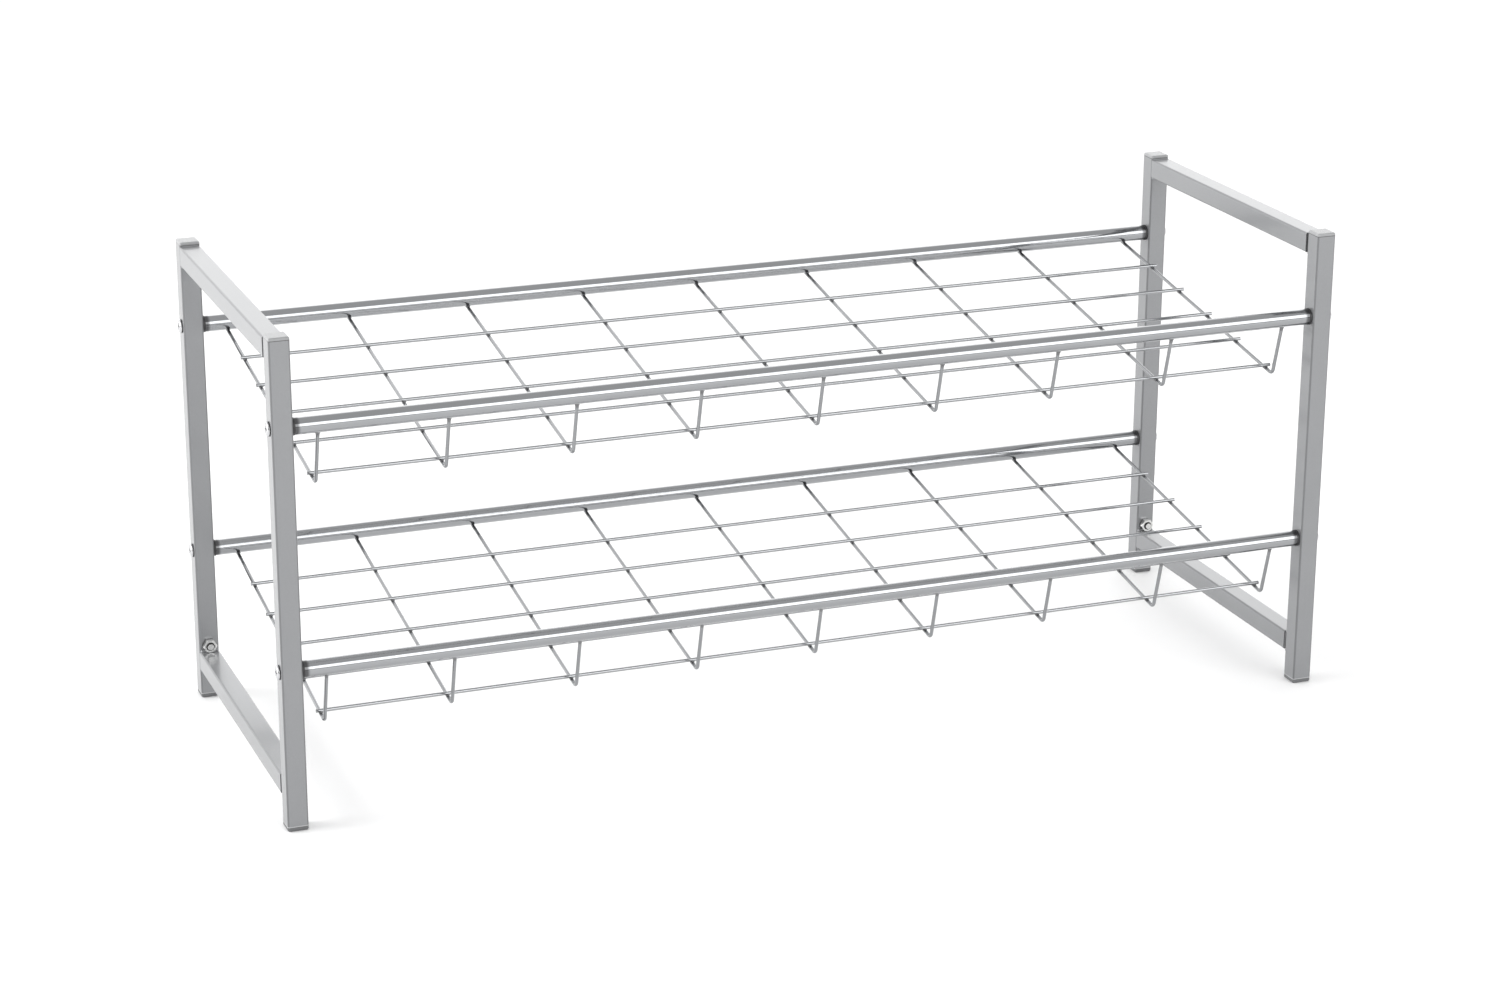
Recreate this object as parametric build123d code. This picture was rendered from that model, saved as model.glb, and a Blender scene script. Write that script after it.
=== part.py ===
from build123d import *
import math
import os

# Two-tier shoe rack, in millimetres. X runs along the shelves (right is +X), Y goes to the back, Z is up.
# The origin is on the floor, under the middle of the rack.

# Overall size, over the square tubes and from the floor to the top of the caps
rack_width = 860.0
rack_depth = 300.0
rack_height = 380.0

# Square tube of the side frames
tube_size = 16.0
tube_wall = 1.0
tube_corner = 1.6
bore_corner = 0.6

# Plastic feet and top caps, pushed into the ends of the legs
foot_height = 4.0
foot_bevel = 1.0
cap_height = 2.7
cap_round = 1.5
insert_length = 15.0
insert_core_gap = 1.0
insert_fin = 1.0
insert_fin_pitch = 4.5
insert_fins = 3

# Rails of the side frames
top_rail_drop = 0.5
bottom_rail_height = 24.0
weld_seam_width = 2.6
weld_seam_depth = 0.8

# Round shelf tubes
shelf_tube_diameter = 12.7
shelf_tube_wall = 1.0
lower_shelf_height = 124.5
upper_shelf_below_top = 69.0

# Black end plugs between the shelf tubes and the legs
plug_flange = 2.0
plug_flange_proud = 0.25
plug_length = 20.0
plug_slack = 0.15
plug_fin = 1.5
plug_fin_pitch = 6.0
plug_fins = 3

# Screws through the legs into the end plugs
screw_diameter = 5.0
screw_hole_slack = 0.4
screw_bite = 15.0
screw_head_diameter = 11.0
screw_head_height = 2.2
screw_head_round = 1.4
recess_length = 4.8
recess_width = 0.9
recess_depth = 1.2

# Bolt and nut through each rear leg, just above the bottom rail
bolt_diameter = 6.0
bolt_hole_slack = 0.4
bolt_head_diameter = 10.5
bolt_head_height = 3.2
bolt_head_round = 1.6
bolt_end = 1.6
bolt_end_chamfer = 0.6
socket_flats = 4.0
socket_depth = 2.0
nut_flats = 10.0
nut_height = 5.0
nut_chamfer = 0.7
nut_above_rail = 0.3

# Wire shelves
wire_diameter = 2.8
cross_wires = 9
cross_wire_pitch = 98.3
long_wires = 5
long_wire_pitch = 50.0
first_long_wire = 35.5
long_wire_overhang = 3.5
heel_depth = 49.9
heel_setback = 24.2
heel_bend = 4.5
upright_offset = 3.0
rear_overhang = 2.0
tube_weld_bite = 0.7
wire_weld_bite = 0.5

# Places that follow from the sizes above
tube_bore = tube_size - 2 * tube_wall
leg_x = (rack_width - tube_size) / 2
leg_y = (rack_depth - tube_size) / 2
leg_bottom = foot_height
leg_top = rack_height - cap_height
bottom_rail_z = bottom_rail_height + tube_size / 2
top_rail_z = leg_top - top_rail_drop - tube_size / 2
rail_length = rack_depth - 2 * tube_size
bolt_z = bottom_rail_height + tube_size + nut_above_rail + nut_flats / 2
shelf_tube_radius = shelf_tube_diameter / 2
shelf_tube_bore = shelf_tube_radius - shelf_tube_wall
shelf_tube_length = rack_width - 2 * tube_size - 2 * plug_flange
inner_leg_face = rack_width / 2 - tube_size
wire_radius = wire_diameter / 2
heel_y = heel_setback - rack_depth / 2
rear_drop = shelf_tube_radius + wire_radius - tube_weld_bite
wire_slope = (heel_depth - rear_drop) / (leg_y - heel_y)
sides = {"left": -1, "right": 1}
ends = {"front": -1, "rear": 1}
shelves = {"lower": lower_shelf_height, "upper": rack_height - upper_shelf_below_top}


def square(size, corner):
    return RectangleRounded(size, size, corner)


def square_tube(length):
    """A length of the square tube, standing on the origin along Z."""
    return extrude(square(tube_size, tube_corner) - square(tube_bore, bore_corner), amount=length)


def along_x(x, y, z):
    return Plane(origin=(x, y, z), x_dir=(0, 1, 0), z_dir=(1, 0, 0)).location


def along_y(x, y, z):
    return Plane(origin=(x, y, z), x_dir=(1, 0, 0), z_dir=(0, 1, 0)).location


def rod(radius, length):
    """A round bar that starts at the origin and runs along Z."""
    return extrude(Circle(radius), amount=length)


def leg(side, end):
    """A leg with its screw holes, and the bolt hole that only a rear leg has."""
    x = sides[side] * leg_x
    y = ends[end] * leg_y
    body = Pos(x, y, leg_bottom) * square_tube(leg_top - leg_bottom)
    screw_hole = rod((screw_diameter + screw_hole_slack) / 2, 2 * tube_size)
    for height in shelves.values():
        body -= along_x(x - tube_size, y, height) * screw_hole
    if end == "rear":
        body -= along_y(x, y - tube_size, bolt_z) * rod((bolt_diameter + bolt_hole_slack) / 2, 2 * tube_size)
    return body


def rail(side, height):
    """A rail between the legs, with a shallow seam all round where its front end is welded."""
    neck = square(tube_size - 2 * weld_seam_depth, tube_corner - weld_seam_depth)
    seam = extrude(square(2 * tube_size, tube_corner) - neck, amount=weld_seam_width)
    return along_y(sides[side] * leg_x, -rail_length / 2, height) * (square_tube(rail_length) - seam)


def leg_insert():
    """The ribbed part of a foot or cap, growing up from the origin into the leg."""
    core = square(tube_bore - 2 * insert_core_gap, bore_corner)
    body = extrude(core, amount=insert_length)
    for i in range(insert_fins):
        fin = extrude(square(tube_bore, bore_corner), amount=insert_fin)
        body += Pos(0, 0, insert_fin_pitch * (i + 0.5)) * fin
    return body


def lip(height):
    return extrude(square(tube_size, tube_corner), amount=height)


def foot(side, end):
    pad = lip(foot_height)
    pad = chamfer(pad.faces().sort_by(Axis.Z)[0].edges(), foot_bevel)
    return Pos(sides[side] * leg_x, ends[end] * leg_y, 0) * (pad + Pos(0, 0, foot_height) * leg_insert())


def cap(side, end):
    """A top cap: the same insert as a foot, upside down, under a lip with a rounded top edge."""
    pad = fillet(lip(cap_height).faces().sort_by(Axis.Z)[-1].edges(), cap_round)
    whole = pad + Rot(180, 0, 0) * leg_insert()
    return Pos(sides[side] * leg_x, ends[end] * leg_y, leg_top) * whole


def shelf_tube(end, height):
    pipe = extrude(Circle(shelf_tube_radius) - Circle(shelf_tube_bore), amount=shelf_tube_length)
    return along_x(-shelf_tube_length / 2, ends[end] * leg_y, height) * pipe


def end_plug():
    """An end plug: its flange meets the leg at the origin and its body runs along Z into the tube."""
    body = rod(shelf_tube_radius + plug_flange_proud, plug_flange)
    body += rod(shelf_tube_bore - plug_slack, plug_length)
    for i in range(plug_fins):
        body += Pos(0, 0, plug_flange + plug_fin_pitch * i) * rod(shelf_tube_bore, plug_fin)
    return body - rod(screw_diameter / 2, plug_length)


def screw():
    """A truss-head screw whose head rests on the origin plane and whose shank runs along +Z."""
    head = rod(screw_head_diameter / 2, screw_head_height)
    head = fillet(head.faces().sort_by(Axis.Z)[-1].edges(), screw_head_round)
    for angle in (0, 90):
        slot = Box(recess_length, recess_width, 2 * recess_depth)
        head -= Pos(0, 0, screw_head_height) * Rot(0, 0, angle) * slot
    return Rot(180, 0, 0) * head + rod(screw_diameter / 2, tube_size + screw_bite)


def turned(side, x, y, z, shape):
    """Puts a shape that runs along +Z so that it runs inwards along X from the given side."""
    place = Plane(origin=(x, y, z), x_dir=(0, 1, 0), z_dir=(-sides[side], 0, 0)).location
    return place * shape


def tube_end_plugs(end, height):
    y = ends[end] * leg_y
    return [turned(side, sides[side] * inner_leg_face, y, height, end_plug()) for side in sides]


def frame_screws(side):
    x = sides[side] * rack_width / 2
    return [turned(side, x, ends[end] * leg_y, height, screw()) for end in ends for height in shelves.values()]


def rear_bolt(side):
    """The bolt goes in from the back; its rounded head has a hexagon socket."""
    head = rod(bolt_head_diameter / 2, bolt_head_height)
    head = fillet(head.faces().sort_by(Axis.Z)[-1].edges(), bolt_head_round)
    socket = extrude(RegularPolygon(socket_flats / 2, 6, major_radius=False), amount=socket_depth)
    head -= Pos(0, 0, bolt_head_height - socket_depth) * socket
    shank = rod(bolt_diameter / 2, tube_size + nut_height + bolt_end)
    shank = chamfer(shank.faces().sort_by(Axis.Z)[-1].edges(), bolt_end_chamfer)
    place = Plane(origin=(sides[side] * leg_x, rack_depth / 2, bolt_z), x_dir=(1, 0, 0), z_dir=(0, -1, 0))
    return place.location * (shank + Rot(180, 0, 0) * head)


def rear_nut(side):
    """A hexagon nut on the front face of a rear leg, flat side up."""
    blank = rod(nut_flats / math.sqrt(3), nut_height)
    blank = chamfer(blank.edges().filter_by(GeomType.CIRCLE), nut_chamfer)
    body = blank & extrude(RegularPolygon(nut_flats / 2, 6, major_radius=False, rotation=30), amount=nut_height)
    body -= rod(bolt_diameter / 2, nut_height)
    place = Plane(
        origin=(sides[side] * leg_x, leg_y - tube_size / 2, bolt_z), x_dir=(0, 0, 1), z_dir=(0, -1, 0)
    )
    return place.location * body


def cross_wire(x, height):
    """A bent wire: from under the rear tube down to the heel, then up to the front tube."""
    path = FilletPolyline(
        (x, leg_y + rear_overhang, height - rear_drop + wire_slope * rear_overhang),
        (x, heel_y, height - heel_depth),
        (x, upright_offset - leg_y, height),
        radius=heel_bend,
    )
    body = sweep(Plane(origin=path @ 0, z_dir=path % 0) * Circle(wire_radius), path=path)
    for end in ends:
        body -= along_x(x - tube_size, ends[end] * leg_y, height) * rod(shelf_tube_radius, 2 * tube_size)
    return body


def long_wire(number, height, crossed):
    """A straight wire on top of the cross wires, pressed a little into each one by the welds."""
    y = first_long_wire + number * long_wire_pitch - rack_depth / 2
    above = (wire_diameter - wire_weld_bite) * math.sqrt(1 + wire_slope**2)
    z = height - heel_depth + (y - heel_y) * wire_slope + above
    half = (cross_wires - 1) * cross_wire_pitch / 2 + long_wire_overhang
    return along_x(-half, y, z) * rod(wire_radius, 2 * half) - crossed


def build():
    nodes = {}
    for side in sides:
        for end in ends:
            nodes[f"{side}_{end}_leg"] = [leg(side, end)]
            nodes[f"{side}_{end}_top_cap"] = [cap(side, end)]
            nodes[f"{side}_{end}_foot"] = [foot(side, end)]
        nodes[f"{side}_top_rail"] = [rail(side, top_rail_z)]
        nodes[f"{side}_bottom_rail"] = [rail(side, bottom_rail_z)]
        nodes[f"{side}_frame_screws"] = frame_screws(side)
        nodes[f"{side}_rear_leg_bolt"] = [rear_bolt(side)]
        nodes[f"{side}_rear_leg_nut"] = [rear_nut(side)]
    for shelf, height in shelves.items():
        for end in ends:
            nodes[f"{shelf}_{end}_tube"] = [shelf_tube(end, height)]
            nodes[f"{shelf}_{end}_tube_end_plugs"] = tube_end_plugs(end, height)
        crossed = []
        for i in range(cross_wires):
            wire = cross_wire((i - (cross_wires - 1) / 2) * cross_wire_pitch, height)
            nodes[f"{shelf}_shelf_cross_wire_{i + 1}"] = [wire]
            crossed.append(wire)
        for i in range(long_wires):
            nodes[f"{shelf}_shelf_long_wire_{i + 1}"] = [long_wire(i, height, crossed)]
    return nodes


os.makedirs("parts", exist_ok=True)
for name, shapes in build().items():
    solids = [solid for shape in shapes for solid in shape.solids()]
    export_step(solids[0] if len(solids) == 1 else Compound(children=solids), f"parts/{name}.step")
    print(name, len(solids), round(sum(solid.volume for solid in solids), 1))
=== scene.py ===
import math

import bpy
from mathutils import Matrix, Vector


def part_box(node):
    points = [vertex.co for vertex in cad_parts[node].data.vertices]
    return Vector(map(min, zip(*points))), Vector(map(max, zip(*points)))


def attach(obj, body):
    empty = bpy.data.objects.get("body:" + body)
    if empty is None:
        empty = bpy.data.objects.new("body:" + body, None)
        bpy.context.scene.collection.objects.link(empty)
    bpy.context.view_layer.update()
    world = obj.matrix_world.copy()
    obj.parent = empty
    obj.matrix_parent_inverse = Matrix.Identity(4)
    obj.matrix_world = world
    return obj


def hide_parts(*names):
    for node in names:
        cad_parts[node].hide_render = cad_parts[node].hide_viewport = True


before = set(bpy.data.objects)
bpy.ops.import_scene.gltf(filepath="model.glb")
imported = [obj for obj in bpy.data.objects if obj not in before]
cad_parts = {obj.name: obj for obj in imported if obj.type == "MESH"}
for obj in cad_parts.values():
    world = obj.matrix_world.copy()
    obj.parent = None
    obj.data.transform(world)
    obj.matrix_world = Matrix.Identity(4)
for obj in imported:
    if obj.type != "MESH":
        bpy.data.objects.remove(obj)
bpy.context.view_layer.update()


# Side frames: two legs and two rails a side, in 16 mm square steel tube, cut square and MIG welded.
# The whole frame is then coated with silver powder paint, so the tubes and the welds have one skin:
# a fine flake in a satin film, with the faint orange peel that stoved powder leaves.
SIDES = ("left", "right")
ENDS = ("front", "rear")
SILVER_DARK = (0.228, 0.232, 0.24)
SILVER_LIGHT = (0.312, 0.317, 0.325)
# Painted shade: a darker grey along the tubes' rounded corners, and near black in the seams at the rails'
# front ends.
CORNER_SHADE_GREY = (0.09, 0.092, 0.096)
SEAM_SHADE_BLACK = (0.012, 0.012, 0.012)
CORNER_SHADE_FROM = 0.0017
CORNER_SHADE_FULL = 0.0006
CORNER_SHADE_AMOUNT = 0.55
TOP_SEAM = 0.0024
BOTTOM_SEAM = 0.0013


class Reading:
    """A node's output. Arithmetic on it adds the Math nodes that it needs."""

    def __init__(self, bench, socket):
        self.bench = bench
        self.socket = socket

    def __add__(self, other):
        return self.bench.math("ADD", self, other)

    def __radd__(self, other):
        return self.bench.math("ADD", other, self)

    def __sub__(self, other):
        return self.bench.math("SUBTRACT", self, other)

    def __rsub__(self, other):
        return self.bench.math("SUBTRACT", other, self)

    def __mul__(self, other):
        return self.bench.math("MULTIPLY", self, other)

    def __rmul__(self, other):
        return self.bench.math("MULTIPLY", other, self)

    def __pow__(self, other):
        return self.bench.math("POWER", self, other)


class Bench:
    """Where a node tree is put together, for a finish or for a shape."""

    def __init__(self, tree):
        self.tree = tree

    def node(self, kind, settings=None, sockets=None, output=0):
        """Adds a node: its settings first, then a value or a link for each socket that is named."""
        made = self.tree.nodes.new(kind)
        for name, value in (settings or {}).items():
            setattr(made, name, value)
        for name, value in (sockets or {}).items():
            if isinstance(value, Reading):
                self.tree.links.new(value.socket, made.inputs[name])
            else:
                made.inputs[name].default_value = value
        return Reading(self, made.outputs[output]) if made.outputs else None

    def math(self, operation, *values):
        return self.node("ShaderNodeMath", {"operation": operation}, dict(enumerate(values)))

    def ease(self, value, start, end, low, high):
        """Goes smoothly from low, where the value is start, to high, where it is end."""
        sockets = {"Value": value, "From Min": start, "From Max": end, "To Min": low, "To Max": high}
        return self.node("ShaderNodeMapRange", {"interpolation_type": "SMOOTHSTEP"}, sockets)


class Finish(Bench):
    """One surface finish. Its patterns lie in the object's own space, in metres."""

    def __init__(self, name):
        self.material = bpy.data.materials.new(name)
        self.material.use_nodes = True
        super().__init__(self.material.node_tree)
        self.tree.nodes.clear()
        self.place = self.node("ShaderNodeTexCoord", output="Object")

    def along(self, axis):
        """How far a point is along one axis."""
        return self.node("ShaderNodeSeparateXYZ", {}, {0: self.place}, axis)

    def stretched(self, squeeze):
        """The object's space, squeezed so that a pattern on it draws out along one axis."""
        return self.node("ShaderNodeMapping", {}, {"Vector": self.place, "Scale": squeeze})

    def noise(self, per_metre, detail, place=None):
        sockets = {"Vector": place or self.place, "Scale": per_metre, "Detail": detail}
        return self.node("ShaderNodeTexNoise", {}, sockets)

    def grains(self, per_metre):
        """Small cells, each with its own value from 0 to 1."""
        sockets = {"Vector": self.place, "Scale": per_metre}
        cells = self.node("ShaderNodeTexVoronoi", {}, sockets, "Color")
        return self.node("ShaderNodeSeparateColor", {}, {"Color": cells})

    def blend(self, amount, start, end):
        """From the start colour at 0 to the end colour at 1. The Mix node's colours share their names
        with its numbers, so they go by place."""
        start, end = (c if isinstance(c, Reading) else (*c, 1.0) for c in (start, end))
        return self.node("ShaderNodeMix", {"data_type": "RGBA"}, {0: amount, 6: start, 7: end}, 2)

    def bump(self, height, depth, strength):
        sockets = {"Height": height, "Distance": depth, "Strength": strength}
        return self.node("ShaderNodeBump", {}, sockets)

    def done(self, **sockets):
        """Closes the finish with its surface and returns the material."""
        named = {name.replace("_", " ").title(): value for name, value in sockets.items()}
        surface = self.node("ShaderNodeBsdfPrincipled", {}, named)
        self.node("ShaderNodeOutputMaterial", {}, {"Surface": surface})
        return self.material


def silver_powder_coat(name, shaded=None):
    """The frame's coating. The function given, if any, paints shade into its colour."""
    coat = Finish(name)
    flake = coat.grains(per_metre=3200)
    cloud = coat.noise(per_metre=16, detail=3.0)
    peel = coat.noise(per_metre=620, detail=2.0)
    shade = 0.35 + 0.3 * flake + 0.35 * (cloud - 0.5)
    colour = coat.blend(shade, SILVER_DARK, SILVER_LIGHT)
    return coat.done(
        base_color=shaded(coat, colour) if shaded else colour,
        metallic=0.6,
        roughness=0.3 + 0.06 * flake + 0.08 * (cloud - 0.5),
        coat_weight=0.4,
        coat_roughness=0.1,
        normal=coat.bump(peel, depth=0.0004, strength=0.1),
    )


def near_edge(coat, axis, low, high):
    """From 0 over most of a tube's width along one axis to 1 at both of its edges."""
    half = (high - low) / 2
    from_middle = coat.math("ABSOLUTE", coat.along(axis) - (low + half))
    return coat.ease(from_middle, half - CORNER_SHADE_FROM, half - CORNER_SHADE_FULL, 0.0, 1.0)


def powder_coat_on(tube, across, seam_width=0.0):
    """The coating on one tube, with painted shade along its four rounded corners and near-black painted
    shade in the seam at its front end.
    """
    box_low, box_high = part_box(tube)

    def shaded(coat, colour):
        # Painted shade: a darker grey along each rounded corner, standing in for the dark that the
        # corners reflect.
        amount = CORNER_SHADE_AMOUNT
        for axis in across:
            place = "XYZ".index(axis)
            amount = amount * near_edge(coat, axis, box_low[place], box_high[place])
        colour = coat.blend(amount, colour, CORNER_SHADE_GREY)
        # Painted shade: near black across the groove at the rail's front end, where the seam lies in
        # shadow.
        if seam_width:
            in_seam = coat.math("LESS_THAN", coat.along("Y"), box_low.y + seam_width)
            colour = coat.blend(in_seam, colour, SEAM_SHADE_BLACK)
        return colour

    return silver_powder_coat(f"silver_powder_coat_{tube}", shaded)


def finish_node(node, material):
    """Gives a CAD piece its finish. The piece keeps its own mesh."""
    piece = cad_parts[node]
    piece.data.materials.clear()
    piece.data.materials.append(material)


for side in SIDES:
    for end in ENDS:
        leg = f"{side}_{end}_leg"
        finish_node(leg, powder_coat_on(leg, "XY"))
    for rail, seam in ((f"{side}_top_rail", TOP_SEAM), (f"{side}_bottom_rail", BOTTOM_SEAM)):
        finish_node(rail, powder_coat_on(rail, "XZ", seam))


# Frame welds: a short fillet of overlapping beads in each inside corner between a rail and a leg.
# The welds on the flush faces are ground flat before painting, so only these show.
BEAD_PITCH = 0.0014
BEAD_SIZE = (0.0016, 0.0015, 0.0015)
BEAD_INSET = 0.0022
BEAD_STANDS_OUT = 0.0002
BEAD_SEGMENTS = 20
BEAD_RINGS = 12
BEAD_SPREAD = (0.88, 1.08)


class ShapeTree(Bench):
    """A Geometry Nodes tree for one kind of piece, run once on each piece's own points."""

    def __init__(self, name, **inputs):
        tree = bpy.data.node_groups.new(name, "GeometryNodeTree")
        tree.interface.new_socket("Geometry", in_out="INPUT", socket_type="NodeSocketGeometry")
        for label, kind in inputs.items():
            tree.interface.new_socket(label, in_out="INPUT", socket_type=f"NodeSocket{kind}")
        tree.interface.new_socket("Geometry", in_out="OUTPUT", socket_type="NodeSocketGeometry")
        super().__init__(tree)
        self.entry = tree.nodes.new("NodeGroupInput")

    def given(self, label):
        return Reading(self, self.entry.outputs[label])

    def lump(self, segments, rings):
        """A rounded lump of weld metal, of the Size given."""
        sockets = {"Segments": segments, "Rings": rings, "Radius": 1.0}
        ball = self.node("GeometryNodeMeshUVSphere", {}, sockets)
        return self.node("GeometryNodeTransform", {}, {"Geometry": ball, "Scale": self.given("Size")})

    def uneven(self, smallest, largest):
        """A scale for each copy, drawn by the Seed given. The node's sockets go by place."""
        sockets = {2: smallest, 3: largest, "Seed": self.given("Seed")}
        return self.node("FunctionNodeRandomValue", {"data_type": "FLOAT"}, sockets, 1)

    def close(self, geometry):
        """Ends the tree: real geometry, smooth, in the material that the piece is given."""
        real = self.node("GeometryNodeRealizeInstances", {}, {0: geometry})
        smooth = self.node("GeometryNodeSetShadeSmooth", {}, {"Geometry": real})
        sockets = {"Geometry": smooth, "Material": self.given("Finish")}
        painted = self.node("GeometryNodeSetMaterial", {}, sockets)
        self.node("NodeGroupOutput", {}, {0: painted})

    def make(self, name, points, edges, **values):
        """Runs the tree on points joined by edges and returns the result as a plain mesh object."""
        start_mesh = bpy.data.meshes.new(f"{name}_points")
        start_mesh.from_pydata([tuple(point) for point in points], edges, [])
        start = bpy.data.objects.new(f"{name}_points", start_mesh)
        bpy.context.scene.collection.objects.link(start)
        modifier = start.modifiers.new("shape", "NODES")
        modifier.node_group = self.tree
        for item in self.tree.interface.items_tree:
            if item.in_out == "INPUT" and item.name in values:
                modifier[item.identifier] = values[item.name]
        evaluated = start.evaluated_get(bpy.context.evaluated_depsgraph_get())
        mesh = bpy.data.meshes.new_from_object(evaluated)
        mesh.name = name
        start.modifiers.remove(modifier)
        bpy.data.objects.remove(start)
        piece = bpy.data.objects.new(name, mesh)
        bpy.context.scene.collection.objects.link(piece)
        return piece


def bead_tree():
    """A row of beads along each edge between two points."""
    shape = ShapeTree("weld_bead", Pitch="Float", Size="Vector", Seed="Int", Finish="Material")
    line = shape.node("GeometryNodeMeshToCurve", {}, {"Mesh": shape.given("Geometry")})
    sockets = {"Curve": line, "Length": shape.given("Pitch")}
    steps = shape.node("GeometryNodeResampleCurve", {"mode": "LENGTH"}, sockets)
    bead = shape.lump(BEAD_SEGMENTS, BEAD_RINGS)
    sockets = {"Points": steps, "Instance": bead, "Scale": shape.uneven(*BEAD_SPREAD)}
    shape.close(shape.node("GeometryNodeInstanceOnPoints", {}, sockets))
    return shape


def frame_welds(side, beads, paint, seed):
    """The fillets of one side frame: under the top rail, and above and under the bottom rail."""
    top_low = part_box(f"{side}_top_rail")[0]
    low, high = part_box(f"{side}_bottom_rail")
    points = []
    edges = []
    for y, inwards in ((low.y, 1), (high.y, -1)):
        for z, outwards in ((top_low.z, -1), (low.z, -1), (high.z, 1)):
            for x in (low.x + BEAD_INSET, high.x - BEAD_INSET):
                points.append((x, y + inwards * BEAD_STANDS_OUT, z + outwards * BEAD_STANDS_OUT))
            edges.append((len(points) - 2, len(points) - 1))
    piece = beads.make(
        f"{side}_frame_welds",
        points,
        edges,
        Pitch=BEAD_PITCH,
        Size=BEAD_SIZE,
        Seed=seed,
        Finish=paint,
    )
    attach(piece, "root")


weld_paint = silver_powder_coat("silver_powder_coat_welds")
beads = bead_tree()
for seed, side in enumerate(SIDES):
    frame_welds(side, beads, weld_paint, seed)


# Feet and top caps: moulded polyethylene, pushed into the leg ends by hand.
# The caps are light grey; the feet are a darker grey, scuffed a little by the floor.
CAP_GREYS = ((0.27, 0.275, 0.28), (0.34, 0.345, 0.35))
# Painted light at the joint with the leg: a dark line of painted shade on the caps, a light line of
# painted highlight on the feet.
CAP_JOINT_SHADE = (0.08, 0.08, 0.082)
FOOT_GREYS = ((0.1, 0.102, 0.105), (0.16, 0.163, 0.167))
FOOT_JOINT_HIGHLIGHT = (0.5, 0.505, 0.51)
PAINTED_JOINT_LINE = 0.0005
SCUFF_FADE_PER_METRE = 260


def moulded_plastic(name, greys, low_roughness, scuffing, joint_height, painted_joint_grey):
    """Moulded plastic, with a thin painted line where the piece meets the end of its leg: painted shade
    on the caps, a painted highlight on the feet.
    """
    plastic = Finish(name)
    flow = plastic.noise(per_metre=38, detail=3.0)
    grain = plastic.noise(per_metre=2600, detail=1.0)
    fade = 1.0 - plastic.along("Z") * SCUFF_FADE_PER_METRE
    near_floor = plastic.node("ShaderNodeClamp", {}, {"Value": fade})
    scuffed = near_floor * plastic.noise(per_metre=900, detail=3.0) * scuffing
    from_joint = plastic.math("ABSOLUTE", plastic.along("Z") - joint_height)
    on_painted_joint = plastic.math("LESS_THAN", from_joint, PAINTED_JOINT_LINE)
    colour = plastic.blend(0.3 + 0.5 * flow + scuffed, *greys)
    return plastic.done(
        base_color=plastic.blend(on_painted_joint, colour, painted_joint_grey),
        roughness=low_roughness + 0.14 * grain + 0.2 * scuffed,
        normal=plastic.bump(grain, depth=0.0002, strength=0.16),
    )


leg_bottom, leg_top = (corner.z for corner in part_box("left_front_leg"))
cap_plastic = moulded_plastic(
    "light_grey_cap_plastic",
    CAP_GREYS,
    low_roughness=0.2,
    scuffing=0.0,
    joint_height=leg_top,
    painted_joint_grey=CAP_JOINT_SHADE,
)
foot_plastic = moulded_plastic(
    "grey_foot_plastic",
    FOOT_GREYS,
    low_roughness=0.42,
    scuffing=0.5,
    joint_height=leg_bottom,
    painted_joint_grey=FOOT_JOINT_HIGHLIGHT,
)
for side in SIDES:
    for end in ENDS:
        finish_node(f"{side}_{end}_top_cap", cap_plastic)
        finish_node(f"{side}_{end}_foot", foot_plastic)


# Shelf tubes: half-inch steel tube with bright chrome plate, four of them between the side frames.
# Polishing before the plating leaves faint lines along the tube.
SHELVES = ("lower", "upper")
CHROME_TINT = (0.97, 0.99, 1.02)
CHROME_CLOUDS = (0.95, 1.05)
# Painted dark in the chrome: a painted reflection of the plug at the tube ends, and painted shade at the
# wire crossings.
CHROME_PAINTED_DARK = (0.06, 0.06, 0.062)
DRAWN_ALONG_X = (0.01, 1.0, 1.0)
TUBE_END_REACH = 0.0045
TUBE_END_PAINTED_REFLECTION = 0.85


def bright_chrome(name, brightness, squeeze, painted_dark=None):
    """Chrome plate with polishing lines. The function given, if any, says where it is painted dark: a
    painted reflection at the tube ends, painted shade at the wire crossings.
    """
    plate = Finish(name)
    lines = plate.noise(per_metre=900, detail=3.0, place=plate.stretched(squeeze))
    cloud = plate.noise(per_metre=22, detail=3.0)
    dark, light = ([channel * brightness * level for channel in CHROME_TINT] for level in CHROME_CLOUDS)
    colour = plate.blend(cloud, dark, light)
    if painted_dark:
        colour = plate.blend(painted_dark(plate), colour, CHROME_PAINTED_DARK)
    return plate.done(
        base_color=colour,
        metallic=1.0,
        roughness=0.045 + 0.05 * lines + 0.03 * cloud,
        normal=plate.bump(lines, depth=0.0001, strength=0.03),
    )


def near_tube_ends(plate):
    """The last few millimetres of each tube, painted dark as a reflection of the black plug."""
    tube_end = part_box("lower_front_tube")[1].x
    out = plate.math("ABSOLUTE", plate.along("X"))
    return plate.ease(out, tube_end - TUBE_END_REACH, tube_end - TUBE_END_REACH / 3, 0.0, TUBE_END_PAINTED_REFLECTION)


tube_chrome = bright_chrome("bright_chrome_tube", 0.36, DRAWN_ALONG_X, near_tube_ends)
for shelf in SHELVES:
    for end in ENDS:
        finish_node(f"{shelf}_{end}_tube", tube_chrome)


# Tube end plugs: black nylon, pressed into the tube ends. Only a thin flange shows at each leg,
# where the screw through the leg draws it tight.
NYLON_BLACK = (0.012, 0.012, 0.013)
NYLON_SHEEN = (0.03, 0.03, 0.032)


def black_nylon():
    nylon = Finish("black_plug_nylon")
    grain = nylon.noise(per_metre=2200, detail=2.0)
    return nylon.done(
        base_color=nylon.blend(grain, NYLON_BLACK, NYLON_SHEEN),
        roughness=0.36 + 0.18 * grain,
        normal=nylon.bump(grain, depth=0.0002, strength=0.12),
    )


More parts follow.
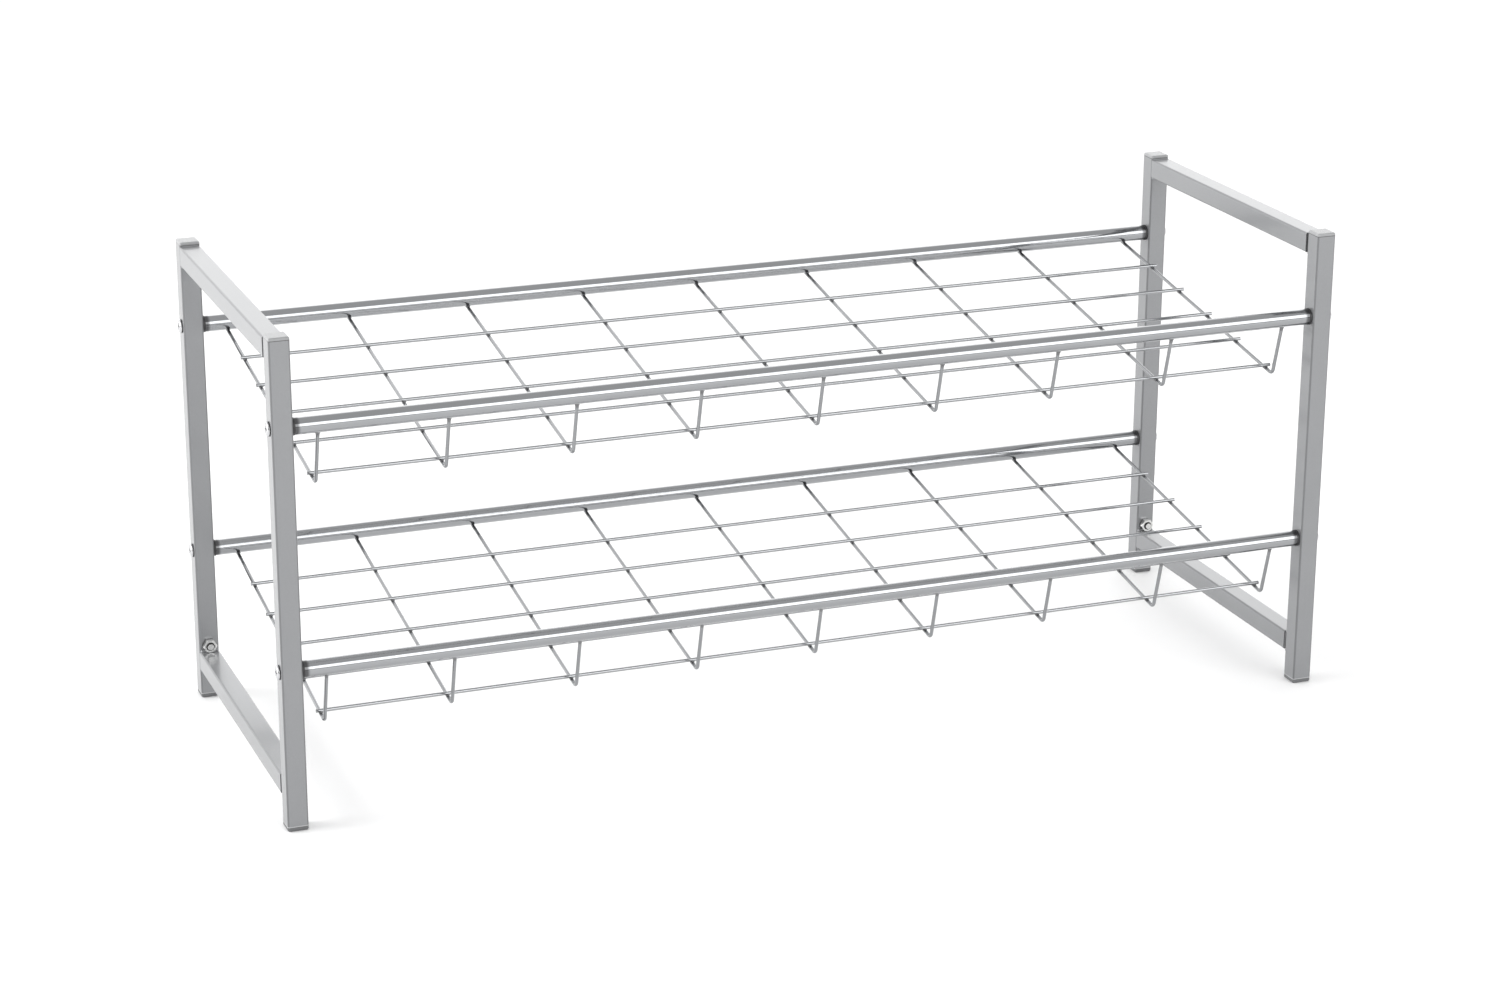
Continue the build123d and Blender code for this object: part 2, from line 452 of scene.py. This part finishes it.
plug_nylon = black_nylon()
for shelf in SHELVES:
    for end in ENDS:
        finish_node(f"{shelf}_{end}_tube_end_plugs", plug_nylon)


# Frame screws: bright-plated truss-head screws with a cross recess, four a side. They are driven
# through the legs into the end plugs.
SCREW_GREYS = ((0.5, 0.505, 0.52), (0.6, 0.6, 0.61))
# Painted shade: near black in the screw recesses, at the feet of screw heads and nuts, and in the bolt
# threads.
PAINTED_SHADE_BLACK = (0.02, 0.02, 0.02)
RECESS_REACH = 0.0026
RECESS_BELOW = 0.0004
FOOT_SHADE_RISE = 0.0007


def middle(node):
    low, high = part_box(node)
    return (low + high) / 2


def from_nearest(finish, axis, first, second):
    """How far a point is, along an axis, from the nearest of a row of even places, given two of them."""
    return finish.math("PINGPONG", finish.along(axis) - first, (second - first) / 2)


def plated_steel(name, greys, low_roughness, shaded_where):
    """Plated steel, painted dark and dulled as shade where the function given says, from 0 to 1."""
    steel = Finish(name)
    blotch = steel.noise(per_metre=420, detail=3.0)
    fine = steel.noise(per_metre=3000, detail=2.0)
    painted_shade = shaded_where(steel)
    return steel.done(
        base_color=steel.blend(painted_shade, steel.blend(blotch, *greys), PAINTED_SHADE_BLACK),
        metallic=1.0 - 0.6 * painted_shade,
        roughness=low_roughness + 0.12 * blotch + 0.06 * fine + 0.3 * painted_shade,
        normal=steel.bump(fine, depth=0.0001, strength=0.08),
    )


def recess_and_foot(steel):
    """Painted shade in the cross recess of each screw head and on the ring where the head meets its leg.
    """
    aside = from_nearest(steel, "Y", *(middle(f"left_{end}_leg").y for end in ENDS))
    above = from_nearest(steel, "Z", *(middle(f"{shelf}_front_tube").z for shelf in SHELVES))
    in_middle = steel.math("LESS_THAN", aside * aside + above * above, RECESS_REACH**2)
    outer_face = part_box("right_front_leg")[1].x
    head_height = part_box("right_frame_screws")[1].x - outer_face
    height = steel.math("ABSOLUTE", steel.along("X")) - outer_face
    in_recess = in_middle * steel.math("LESS_THAN", height, head_height - RECESS_BELOW)
    at_foot = steel.math("LESS_THAN", height, FOOT_SHADE_RISE)
    return steel.math("MAXIMUM", in_recess, at_foot)


screw_plate = plated_steel("bright_screw_plate", SCREW_GREYS, 0.07, recess_and_foot)
for side in SIDES:
    finish_node(f"{side}_frame_screws", screw_plate)


# Rear leg bolts: a zinc-plated button-head bolt through each rear leg from the back, with a nut
# on the leg's front face. Painted shade darkens the thread between bolt and nut and the foot of the nut.
ZINC_GREYS = ((0.6, 0.6, 0.59), (0.74, 0.74, 0.73))
THREAD_RADIUS = 0.003
THREAD_GAP = 0.0005
NUT_FOOT = 0.0009


def thread_and_foot(side):
    """Painted shade in the thread between a bolt and its nut, and at the foot of the nut against the leg.
    """
    axis = middle(f"{side}_rear_leg_nut")
    leg_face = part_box(f"{side}_rear_leg")[0].y

    def shaded_where(steel):
        across = steel.along("X") - axis.x
        up = steel.along("Z") - axis.z
        from_axis = (across * across + up * up) ** 0.5
        from_thread = steel.math("ABSOLUTE", from_axis - THREAD_RADIUS)
        in_front = steel.math("LESS_THAN", steel.along("Y"), leg_face)
        in_thread = in_front * steel.math("LESS_THAN", from_thread, THREAD_GAP)
        from_leg = steel.math("ABSOLUTE", steel.along("Y") - leg_face)
        at_foot = steel.math("LESS_THAN", from_leg, NUT_FOOT)
        return steel.math("MAXIMUM", in_thread, at_foot)

    return shaded_where


for side in SIDES:
    zinc = plated_steel(f"{side}_bolt_zinc_plate", ZINC_GREYS, 0.06, thread_and_foot(side))
    finish_node(f"{side}_rear_leg_bolt", zinc)
    finish_node(f"{side}_rear_leg_nut", zinc)


# Wire shelves: 2.8 mm steel wire, bent, spot welded and then chromed as one. Each cross wire runs
# down from under the rear tube to its heel and turns up to the front tube; the long wires lie on top.
CROSS_WIRES = sum("lower_shelf_cross_wire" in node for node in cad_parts)
LONG_WIRES = sum("lower_shelf_long_wire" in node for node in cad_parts)
HEEL_SETBACK = 0.0242
HEEL_DEPTH = 0.0499
HEEL_BEND = 0.0045
UPRIGHT_OFFSET = 0.003
REAR_OVERHANG = 0.002
REAR_BITE = 0.0007
WIRE_SIDES = 24
BEND_STEPS = 14
EVEN_ALL_WAYS = (1.0, 1.0, 1.0)
# Painted shade on the cross wires where the long wires cross them.
CROSSING_SHADE_CORE = 0.0016
CROSSING_SHADE_REACH = 0.0048
CROSSING_SHADE_STRENGTH = 0.75


def wire_tree():
    """A round wire along the points, with a bend at each corner between them."""
    shape = ShapeTree("bent_wire", Radius="Float", Bend="Float", Sides="Int", Finish="Material")
    line = shape.node("GeometryNodeMeshToCurve", {}, {"Mesh": shape.given("Geometry")})
    sockets = {"Curve": line, "Radius": shape.given("Bend"), "Count": BEND_STEPS}
    bent = shape.node("GeometryNodeFilletCurve", {"mode": "POLY"}, sockets)
    sockets = {"Resolution": shape.given("Sides"), "Radius": shape.given("Radius")}
    ring = shape.node("GeometryNodeCurvePrimitiveCircle", {}, sockets)
    sockets = {"Curve": bent, "Profile Curve": ring, "Fill Caps": True}
    shape.close(shape.node("GeometryNodeCurveToMesh", {}, sockets))
    return shape


def tube_line(shelf, end):
    """The middle of a shelf tube, as y and z, and its radius."""
    low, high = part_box(f"{shelf}_{end}_tube")
    return (low.y + high.y) / 2, (low.z + high.z) / 2, (high.z - low.z) / 2


def cross_wire(shelf, number):
    """A cross wire's radius, and the rear end, the heel and the front end of its middle line."""
    low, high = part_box(f"{shelf}_shelf_cross_wire_{number}")
    x = (low.x + high.x) / 2
    radius = (high.x - low.x) / 2
    front_y, z, tube_radius = tube_line(shelf, "front")
    rear_y, _, _ = tube_line(shelf, "rear")
    face_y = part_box("left_front_leg")[0].y
    heel = Vector((x, face_y + HEEL_SETBACK, z - HEEL_DEPTH))
    under_rear = Vector((x, rear_y, z - tube_radius - radius + REAR_BITE))
    rearwards = (under_rear - heel).normalized()
    front_end = Vector((x, front_y + UPRIGHT_OFFSET, z))
    return radius, (under_rear + rearwards * REAR_OVERHANG, heel, front_end)


def wire_piece(name, points, radius, wires, chrome):
    edges = [(i, i + 1) for i in range(len(points) - 1)]
    piece = wires.make(
        f"{name}_visual",
        points,
        edges,
        Radius=radius,
        Bend=HEEL_BEND,
        Sides=WIRE_SIDES,
        Finish=chrome,
    )
    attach(piece, "root")
    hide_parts(name)


def near_crossings(plate):
    """Painted shade on a cross wire where each long wire crosses it, at the pitch of the long wires."""
    long_places = (middle(f"lower_shelf_long_wire_{number}").y for number in (1, 2))
    nearest = from_nearest(plate, "Y", *long_places)
    return plate.ease(nearest, CROSSING_SHADE_CORE, CROSSING_SHADE_REACH, CROSSING_SHADE_STRENGTH, 0.0)


cross_chrome = bright_chrome("cross_wire_chrome", 0.31, EVEN_ALL_WAYS, near_crossings)
long_chrome = bright_chrome("long_wire_chrome", 0.34, DRAWN_ALONG_X)
wires = wire_tree()
for shelf in SHELVES:
    for number in range(1, CROSS_WIRES + 1):
        radius, corners = cross_wire(shelf, number)
        wire_piece(f"{shelf}_shelf_cross_wire_{number}", corners, radius, wires, cross_chrome)
    for number in range(1, LONG_WIRES + 1):
        name = f"{shelf}_shelf_long_wire_{number}"
        low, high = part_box(name)
        ends = [(x, middle(name).y, middle(name).z) for x in (low.x, high.x)]
        wire_piece(name, ends, (high.z - low.z) / 2, wires, long_chrome)


# Wire welds: a small swollen nugget at each crossing and under the rear tube, and a flared fillet
# where each upright meets the front tube. The plating covers them, a little duller than the wire.
WELD_GREYS = ((0.17, 0.17, 0.175), (0.26, 0.265, 0.27))
NUGGET_SIZE = (0.0017, 0.0017, 0.0008)
NUGGET_RISE = 0.8
NUGGET_SEGMENTS = 14
NUGGET_RINGS = 8
NUGGET_SPREAD = (0.85, 1.1)
REAR_NUGGET_SIZE = (0.0022, 0.003, 0.001)
REAR_NUGGET_RISE = 0.75
REAR_SEED_STEP = 7
FLARE_RADIUS = 0.0056
FLARE_LENGTH = 0.0078
FLARE_SUNK = 0.0012
FLARE_TAPER = 2.2
FLARE_STEPS = 9
FLARE_SIDES = 18


def weld_plate():
    plate = Finish("plated_wire_weld")
    ripple = plate.noise(per_metre=1500, detail=3.0)
    return plate.done(
        base_color=plate.blend(ripple, *WELD_GREYS),
        metallic=1.0,
        roughness=0.14 + 0.14 * ripple,
        normal=plate.bump(ripple, depth=0.0003, strength=0.3),
    )


def nugget_tree():
    """A flat lump at each point, tilted as the wire under it."""
    shape = ShapeTree("wire_nugget", Size="Vector", Tilt="Float", Seed="Int", Finish="Material")
    sockets = {
        "Points": shape.node("GeometryNodeMeshToPoints", {}, {"Mesh": shape.given("Geometry")}),
        "Instance": shape.lump(NUGGET_SEGMENTS, NUGGET_RINGS),
        "Rotation": shape.node("ShaderNodeCombineXYZ", {}, {"X": shape.given("Tilt")}),
        "Scale": shape.uneven(*NUGGET_SPREAD),
    }
    shape.close(shape.node("GeometryNodeInstanceOnPoints", {}, sockets))
    return shape


def flare_tree():
    """A short horn at each point, wide at the tube and as thin as the wire at its lower end."""
    shape = ShapeTree(
        "wire_flare",
        Wide="Float",
        Narrow="Float",
        Length="Float",
        Tilt="Float",
        Finish="Material",
    )
    sockets = {"Start": (0.0, 0.0, 0.0), "End": (0.0, 0.0, -1.0)}
    line = shape.node("GeometryNodeCurvePrimitiveLine", {}, sockets)
    sockets = {"Curve": line, "Count": FLARE_STEPS}
    line = shape.node("GeometryNodeResampleCurve", {"mode": "COUNT"}, sockets)
    along = shape.node("GeometryNodeSplineParameter", output="Factor")
    taper = (1.0 - along) ** FLARE_TAPER
    radius = shape.given("Narrow") + taper * (shape.given("Wide") - shape.given("Narrow"))
    line = shape.node("GeometryNodeSetCurveRadius", {}, {"Curve": line, "Radius": radius})
    stretch = shape.node("ShaderNodeCombineXYZ", {}, {"X": 1.0, "Y": 1.0, "Z": shape.given("Length")})
    line = shape.node("GeometryNodeTransform", {}, {"Geometry": line, "Scale": stretch})
    sockets = {"Resolution": FLARE_SIDES, "Radius": 1.0}
    ring = shape.node("GeometryNodeCurvePrimitiveCircle", {}, sockets)
    sockets = {"Curve": line, "Profile Curve": ring, "Scale": radius, "Fill Caps": True}
    horn = shape.node("GeometryNodeCurveToMesh", {}, sockets)
    sockets = {
        "Points": shape.node("GeometryNodeMeshToPoints", {}, {"Mesh": shape.given("Geometry")}),
        "Instance": horn,
        "Rotation": shape.node("ShaderNodeCombineXYZ", {}, {"X": shape.given("Tilt")}),
    }
    shape.close(shape.node("GeometryNodeInstanceOnPoints", {}, sockets))
    return shape


def crossing_places(shelf, number):
    """Where a cross wire meets each of the long wires on it."""
    radius, (rear_end, heel, _) = cross_wire(shelf, number)
    rearwards = (rear_end - heel).normalized()
    above = Vector((0.0, -rearwards.z, rearwards.y))
    places = []
    for long_number in range(1, LONG_WIRES + 1):
        y = middle(f"{shelf}_shelf_long_wire_{long_number}").y
        on_line = heel + rearwards * ((y - heel.y) / rearwards.y)
        places.append(on_line + above * radius * NUGGET_RISE)
    return places


def rear_place(shelf, number):
    """Where a cross wire touches the rear tube from below."""
    radius, (rear_end, heel, _) = cross_wire(shelf, number)
    rearwards = (rear_end - heel).normalized()
    return rear_end - rearwards * REAR_OVERHANG + Vector((0.0, 0.0, radius * REAR_NUGGET_RISE))


def front_place(shelf, number):
    """Just inside the front tube's wall, where the upright of a cross wire enters it."""
    _, (_, heel, front_end) = cross_wire(shelf, number)
    upwards = (front_end - heel).normalized()
    front_y, z, tube_radius = tube_line(shelf, "front")
    to_tube = Vector((0.0, front_y - heel.y, z - heel.z))
    reach = to_tube.dot(upwards)
    miss = (to_tube - upwards * reach).length
    to_wall = reach - math.sqrt(tube_radius**2 - miss**2)
    return heel + upwards * (to_wall + FLARE_SUNK)


def weld_piece(shape, name, points, **values):
    piece = shape.make(name, points, [], **values)
    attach(piece, "root")


def shelf_welds(shelf, nuggets, flares, chrome, seed):
    radius, (rear_end, heel, front_end) = cross_wire(shelf, 1)
    rearwards = rear_end - heel
    upwards = front_end - heel
    lean = math.atan2(rearwards.z, rearwards.y)
    numbers = range(1, CROSS_WIRES + 1)
    weld_piece(
        nuggets,
        f"{shelf}_shelf_crossing_welds",
        [place for number in numbers for place in crossing_places(shelf, number)],
        Size=NUGGET_SIZE,
        Tilt=lean,
        Seed=seed,
        Finish=chrome,
    )
    weld_piece(
        nuggets,
        f"{shelf}_shelf_rear_tube_welds",
        [rear_place(shelf, number) for number in numbers],
        Size=REAR_NUGGET_SIZE,
        Tilt=lean,
        Seed=seed + REAR_SEED_STEP,
        Finish=chrome,
    )
    weld_piece(
        flares,
        f"{shelf}_shelf_front_tube_welds",
        [front_place(shelf, number) for number in numbers],
        Wide=FLARE_RADIUS,
        Narrow=radius,
        Length=FLARE_LENGTH,
        Tilt=math.atan2(-upwards.y, upwards.z),
        Finish=chrome,
    )


weld_chrome = weld_plate()
nuggets = nugget_tree()
flares = flare_tree()
for seed, shelf in enumerate(SHELVES):
    shelf_welds(shelf, nuggets, flares, weld_chrome, seed)


# The room: a pale matt floor, a white sky that greys overhead, and two soft boxes, one in front
# of the rack on its right and one on its left. The backdrop is brighter than the rest of the room.
FLOOR_SIZE = 60.0
FLOOR_WHITE = (0.94, 0.94, 0.94, 1.0)
SKY_WHITE = (1.0, 1.0, 1.0, 1.0)
BACKDROP_GLOW = 1.9
BACKDROP_EDGE = 0.6
ROOM_GLOW = 0.6
CEILING_GLOW = 0.8
CEILING_FROM = 0.5
CEILING_FULL = 0.72
LENS_MM = 85.3
EYE_PLACE = (-0.984, -2.519, 1.081)
EYE_TURN = -21.21
EYE_DIP = 18.79
EYE_ROLL = 0.22


def plain_floor():
    mesh = bpy.data.meshes.new("floor")
    half = FLOOR_SIZE / 2
    corners = [(-half, -half, 0.0), (half, -half, 0.0), (half, half, 0.0), (-half, half, 0.0)]
    mesh.from_pydata(corners, [], [(0, 1, 2, 3)])
    mesh.materials.append(Finish("pale_floor").done(base_color=FLOOR_WHITE, roughness=0.8))
    floor = bpy.data.objects.new("floor", mesh)
    bpy.context.scene.collection.objects.link(floor)


def studio_sky():
    """A bright backdrop behind the rack, a dimmer room in front of it, and a grey ceiling."""
    world = bpy.data.worlds.new("studio")
    world.use_nodes = True
    world.node_tree.nodes.clear()
    sky = Bench(world.node_tree)
    direction = sky.node("ShaderNodeTexCoord", output="Generated")
    height = sky.node("ShaderNodeSeparateXYZ", {}, {0: direction}, "Z")
    behind = sky.node("ShaderNodeSeparateXYZ", {}, {0: direction}, "Y")
    ceiling = sky.ease(height, CEILING_FROM, CEILING_FULL, 0.0, 1.0)
    walls = sky.ease(behind, -BACKDROP_EDGE, BACKDROP_EDGE, ROOM_GLOW, BACKDROP_GLOW)
    strength = walls * (1.0 - ceiling) + CEILING_GLOW * ceiling
    glow = sky.node("ShaderNodeBackground", {}, {"Color": SKY_WHITE, "Strength": strength})
    sky.node("ShaderNodeOutputWorld", {}, {"Surface": glow})
    bpy.context.scene.world = world


def soft_box(name, place, target, width, height, brightness):
    """An area light whose face has the given brightness wherever it is seen."""
    light = bpy.data.lights.new(name, "AREA")
    light.shape = "RECTANGLE"
    light.size = width
    light.size_y = height
    light.energy = brightness * math.pi * width * height
    lamp = bpy.data.objects.new(name, light)
    lamp.location = place
    lamp.rotation_euler = (Vector(target) - Vector(place)).to_track_quat("-Z", "Y").to_euler()
    bpy.context.scene.collection.objects.link(lamp)


def camera():
    lens = bpy.data.cameras.new("camera")
    lens.lens = LENS_MM
    lens.clip_end = 100.0
    eye = bpy.data.objects.new("camera", lens)
    eye.location = EYE_PLACE
    turn = Matrix.Rotation(math.radians(EYE_TURN), 4, "Z")
    pitch = Matrix.Rotation(math.radians(90 - EYE_DIP), 4, "X")
    roll = Matrix.Rotation(math.radians(EYE_ROLL), 4, "Z")
    eye.rotation_euler = (turn @ pitch @ roll).to_euler()
    bpy.context.scene.collection.objects.link(eye)
    bpy.context.scene.camera = eye


plain_floor()
studio_sky()
soft_box(
    "front_box", place=(1.9, -4.2, 2.2), target=(0.1, 0.0, 0.2), width=4.2, height=3.0, brightness=2.7
)
soft_box(
    "left_box", place=(-3.2, 0.6, 1.3), target=(0.0, 0.0, 0.2), width=2.0, height=1.8, brightness=7.0
)
camera()
bpy.context.scene.view_settings.view_transform = "Standard"
